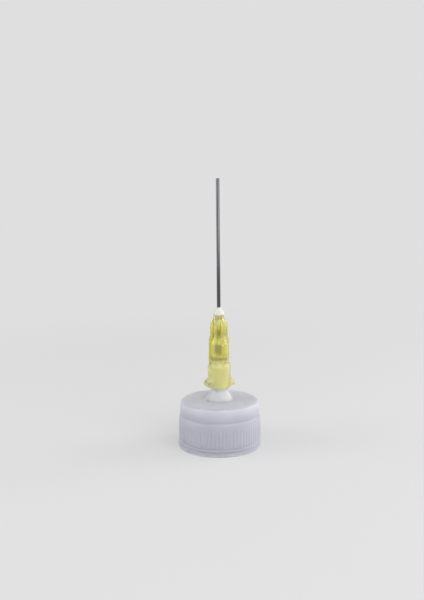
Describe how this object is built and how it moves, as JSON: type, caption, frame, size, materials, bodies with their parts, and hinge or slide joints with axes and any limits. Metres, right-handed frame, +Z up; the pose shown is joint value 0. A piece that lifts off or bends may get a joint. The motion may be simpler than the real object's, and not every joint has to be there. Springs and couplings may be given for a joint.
{
  "type": "needle-tipped dispensing cap",
  "caption": "Threaded screw cap for a small glue bottle, with a luer spigot that carries a pull-off yellow needle hub and an upright blunt steel cannula.",
  "frame": {"origin": "centre of the cap's bottom rim, on the surface that the cap stands on", "axes": "+Z up along the common axis of cap, hub and cannula, towards the needle's tip; -Y towards the viewer; X to the viewer's right"},
  "size_m": [0.0208, 0.0208, 0.0666],
  "materials": {
    "cap_plastic": "natural milky translucent plastic, satin",
    "washer_plastic": "soft white polyethylene, dull",
    "hub_plastic": "tinted see-through yellow plastic, glossy",
    "epoxy": "white cured epoxy, smooth",
    "steel": "drawn stainless tube, bright"
  },
  "bodies": {
    "cap": {"screw_cap": "cap_plastic", "sealing_washer": "washer_plastic"},
    "needle": {"needle_hub": "hub_plastic", "epoxy_bead": "epoxy", "cannula": "steel"}
  },
  "joints": [
    {"name": "needle_pull_off", "type": "slide", "parent": "cap", "child": "needle", "axis": [0, 0, 1], "range_m": [0, 0.012]}
  ]
}
